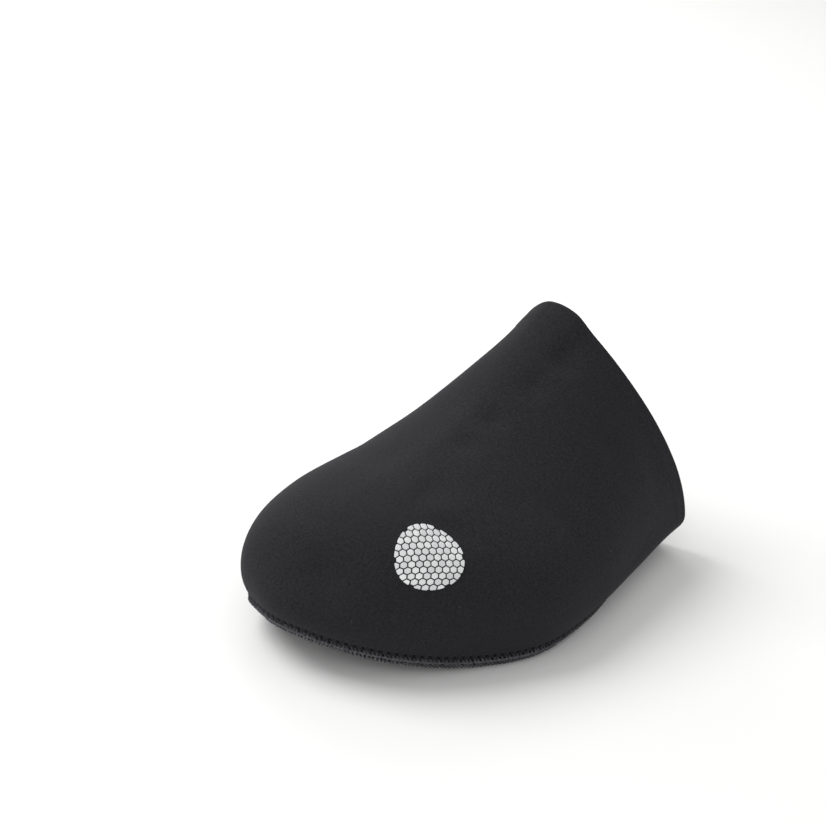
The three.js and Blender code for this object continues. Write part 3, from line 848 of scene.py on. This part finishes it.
def makeWindowStitching():
    # a zigzag thread over the window's edge, on both faces, at the seam's pitch
    s, stitch = soleSettings, stitchSettings
    turn = np.linspace(0, 2 * pi, 721)
    length = pathLength(windowEdge(np.stack([np.cos(turn), np.sin(turn)], -1)))
    count = round(length[-1] / seam["stitch"])
    t = np.linspace(0, count, count * stitch["pointsPerStitch"] + 1)
    swing = np.cos(2 * pi * t)
    angle = np.interp(t / count * length[-1], length, turn)
    heading = np.stack([np.cos(angle), np.sin(angle)], -1)
    reachIn = stitch["reach"] * np.abs(swing)
    flat = np.array([s["windowSide"], s["windowBack"]]) + windowEdge(heading)
    flat = flat + heading * (reachIn - stitch["lap"])[:, None]
    rounding = edgeRounding(reachIn)
    lift = windowLift(reachIn)
    middle = s["thickness"] / 2 + lift / 2
    top = middle + (s["thickness"] + s["rimHeight"] + stitch["overRim"] - middle) * rounding
    # below, the thread stands off near the window and sinks in at its far end
    standOff = stitch["underCloth"] * np.exp(-(reachIn / 1.5) ** 2)
    sink = stitch["underCloth"] * smoothstep(1.5, 3, reachIn)
    bottom = middle - (middle - lift + standOff) * rounding + sink
    height = np.where(swing > 0, top, bottom)
    path = np.concatenate([flat, height[:, None]], 1)
    normal = np.concatenate([-heading, np.zeros((len(t), 1))], 1)
    normal[:, 2] = np.where(swing > 0, 1.0, -1.0) * smoothstep(0.2, 1.2, reachIn)
    points, quads, tris, uv = tube(path, normal, stitch["radius"], stitch["sides"])
    values = {"tone": np.full(len(points), stitch["tone"])}
    piece = makePiece("windowThread", points, quads, tris, [thread], values=values, uv=uv)


makeSolePanel()
makeWindowStitching()
print("sole panel made")

# The reflective disc, cut into small cells
filmSettings = {
    "diameter": 23.0, "back": 30.7, "turn": 41.2,
    "cell": 2.45, "gap": 0.42, "leastArea": 0.7, "cellPoints": 24,
    # a cell's section: foot and top above the cloth, where its flat and bevel end, the bevel's drop
    "low": 0.05, "high": 0.45, "flatShare": 0.45, "bevelShare": 0.84, "bevelDrop": 0.14,
    "chartBack": 80, "chartRows": 161, "chartColumns": 181,
}


def domeChart():
    # turns lengths across and behind the disc's centre into places on the upper, with creases on it
    s = filmSettings
    turn = radians(s["turn"])
    step, backStep = 0.01, 0.1
    beside = domePoint(turn + np.array([0, step, 0]), s["back"] + np.array([0, 0, backStep]))
    perTurn = (beside[1] - beside[0]) / step
    perBack = (beside[2] - beside[0]) / backStep
    sideways = unit(perTurn)
    lean = perBack @ sideways
    backLength = np.linalg.norm(perBack - lean * sideways)
    rows, columns = s["chartRows"], s["chartColumns"]
    backs = np.linspace(0, s["chartBack"], rows)[:, None]
    turns = np.linspace(0, pi / 2, columns)
    arc = pathLength(domePoint(turns + 0 * backs, backs + 0 * turns))
    fromRidge = arc[:, -1:] - arc

    def onSurface(across, behind, height):
        backShift = behind / backLength
        turnHere = turn + (across - backShift * lean) / np.linalg.norm(perTurn)
        backHere = s["back"] + backShift
        point = domePoint(turnHere, backHere)
        alongBack = domePoint(turnHere, backHere + step) - point
        normal = unit(np.cross(alongBack, domePoint(turnHere + step, backHere) - point))
        rowAt = np.round(backHere / s["chartBack"] * (rows - 1)).astype(int)
        columnAt = np.round(turnHere / (pi / 2) * (columns - 1)).astype(int)
        relief = creaseHeight(fromRidge[rowAt, columnAt], backHere)
        return point + normal * (height + relief)[..., None]

    return onSurface


def makeReflector():
    # hexagonal cells inside a circle: each outline is sampled, what lies outside the circle is drawn in to
    # it, and the cell is a low plate with a bevelled edge, laid on the upper
    s = filmSettings
    onSurface = domeChart()
    limit, sides = s["diameter"] / 2, s["cellPoints"]
    steps = np.arange(-8, 9)
    column, row = (grid.ravel() for grid in np.meshgrid(steps, steps))
    middle = np.stack([s["cell"] * (column + 0.5 * (row % 2)), s["cell"] * np.sqrt(3) / 2 * row], -1)
    corner = np.arange(sides) * 2 * pi / sides
    radius = (s["cell"] - s["gap"]) / 2 / np.cos((corner + pi / 6) % (pi / 3) - pi / 6)
    outline = middle[:, None] + (radius[:, None] * np.stack([np.cos(corner), np.sin(corner)], -1))[None]
    outline *= np.minimum(1, limit / np.linalg.norm(outline, axis=-1))[..., None]
    nextPoint = np.roll(outline, -1, axis=1)
    area = 0.5 * (outline[..., 0] * nextPoint[..., 1] - outline[..., 1] * nextPoint[..., 0]).sum(axis=1)
    outline = outline[area > s["leastArea"]]
    centre = outline.mean(axis=1, keepdims=True)
    rings = [(s["flatShare"], s["high"]), (s["bevelShare"], s["high"]),
             (1.0, s["high"] - s["bevelDrop"]), (1.0, s["low"])]
    flat = np.stack([centre + (outline - centre) * share for share, _ in rings], 1)
    height = np.broadcast_to(np.array([h for _, h in rings])[None, :, None], flat.shape[:3])
    shell = onSurface(flat[..., 0], flat[..., 1], height)
    tops = onSurface(centre[:, 0, 0], centre[:, 0, 1], np.full(len(centre), s["high"]))
    cells, size = len(centre), 1 + len(rings) * sides
    points = np.concatenate([tops[:, None], shell.reshape(cells, -1, 3)], 1).reshape(-1, 3)
    start = (np.arange(cells) * size)[:, None, None]
    quads = (gridQuads(len(rings), sides, 1, closed=True)[None] + start).reshape(-1, 4)
    # a fan from the middle closes the top, and one from the lowest ring's first vertex the underside
    low = size - sides
    fans = [[0, 1 + (k + 1) % sides, 1 + k] for k in range(sides)]
    fans += [[low, low + k, low + k + 1] for k in range(1, sides - 1)]
    tris = (np.array(fans)[None] + start).reshape(-1, 3)
    tone = np.repeat(np.random.default_rng(5).uniform(0.1, 0.6, cells), size)
    piece = makePiece("reflectorCells", points, quads, tris, [film], values={"tone": tone}, smooth=False)
    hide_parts("reflector")


makeReflector()
print("reflector made")

# Stage, light and camera
lights = {
    "keyLight": {"place": (-0.75, -0.25, 1.0), "target": (0, 0, 0.03), "size": 0.9, "power": 10.5},
    "fillLight": {"place": (0.9, -1.0, 0.9), "target": (0, 0, 0.03), "size": 1.2, "power": 3.9},
    "sideLight": {"place": (-0.95, 0.75, 0.75), "target": (0, 0, 0.05), "size": 0.8, "power": 3.6},
}
stageSettings = {
    "floor": "#f2f2f1", "floorHalf": 4, "world": 0.62, "sensorWidth": 36,
    "azimuth": 40.255, "elevation": 23.831, "roll": 1.514, "distance": 609.19,
    "focalPixels": 1898.1, "originPixelX": 298.44, "originPixelY": 675.6, "imageSize": 826,
}


def turnTo(thing, right, upwards, backwards, place):
    turned = np.eye(4)
    turned[:3] = np.stack([right, upwards, backwards, place], 1)
    thing.matrix_world = Matrix(turned.tolist())


def makeFloor():
    mesh = bpy.data.meshes.new("floor")
    half = stageSettings["floorHalf"]
    corners = [(-half, -half, 0), (half, -half, 0), (half, half, 0), (-half, half, 0)]
    mesh.from_pydata(corners, [], [(0, 1, 2, 3)])
    floor = addObject("floor", mesh)
    colour = linearColour(stageSettings["floor"])
    material, tree = newMaterial("paleFloor", Base_Color=colour, Roughness=0.9, Specular_IOR_Level=0.1)
    mesh.materials.append(material)


def makeLight(name, place, target, size, power):
    light = bpy.data.lights.new(name, "AREA")
    light.shape = "DISK"
    light.size = size
    light.energy = power
    backwards = unit(np.array(place) - target)
    right = unit(np.cross([0, 0, 1], backwards))
    turnTo(addObject(name, light), right, np.cross(backwards, right), backwards, place)


def makeCamera():
    # the toe tip's foot on the floor falls on the origin pixel
    s = stageSettings
    azimuth, elevation, roll = (radians(s[key]) for key in ("azimuth", "elevation", "roll"))
    right = np.array([np.cos(azimuth), np.sin(azimuth), 0])
    ahead = np.array([-np.sin(azimuth), np.cos(azimuth), 0])
    backwards = -np.cos(elevation) * ahead + np.array([0, 0, np.sin(elevation)])
    upwards = np.cross(backwards, right)
    turnedRight = np.cos(roll) * right + np.sin(roll) * upwards
    turnedUp = -np.sin(roll) * right + np.cos(roll) * upwards
    half = s["imageSize"] / 2
    shiftRight = (s["originPixelX"] - half) / s["focalPixels"] * s["distance"]
    shiftUp = -(s["originPixelY"] - half) / s["focalPixels"] * s["distance"]
    place = -(turnedRight * shiftRight + turnedUp * shiftUp - backwards * s["distance"])
    camera = addObject("camera", bpy.data.cameras.new("camera"))
    camera.data.sensor_width = s["sensorWidth"]
    camera.data.lens = s["focalPixels"] / s["imageSize"] * s["sensorWidth"]
    camera.data.clip_start = 0.01
    turnTo(camera, turnedRight, turnedUp, backwards, place * millimetre + frameShift)
    bpy.context.scene.camera = camera


makeFloor()
for name, light in lights.items():
    makeLight(name, **light)
world = bpy.data.worlds.new("studio")
world.use_nodes = True
background = world.node_tree.nodes["Background"].inputs
background["Color"].default_value = (1, 1, 1, 1)
background["Strength"].default_value = stageSettings["world"]
bpy.context.scene.world = world
bpy.context.scene.view_settings.view_transform = "Standard"
makeCamera()
print("stage made")
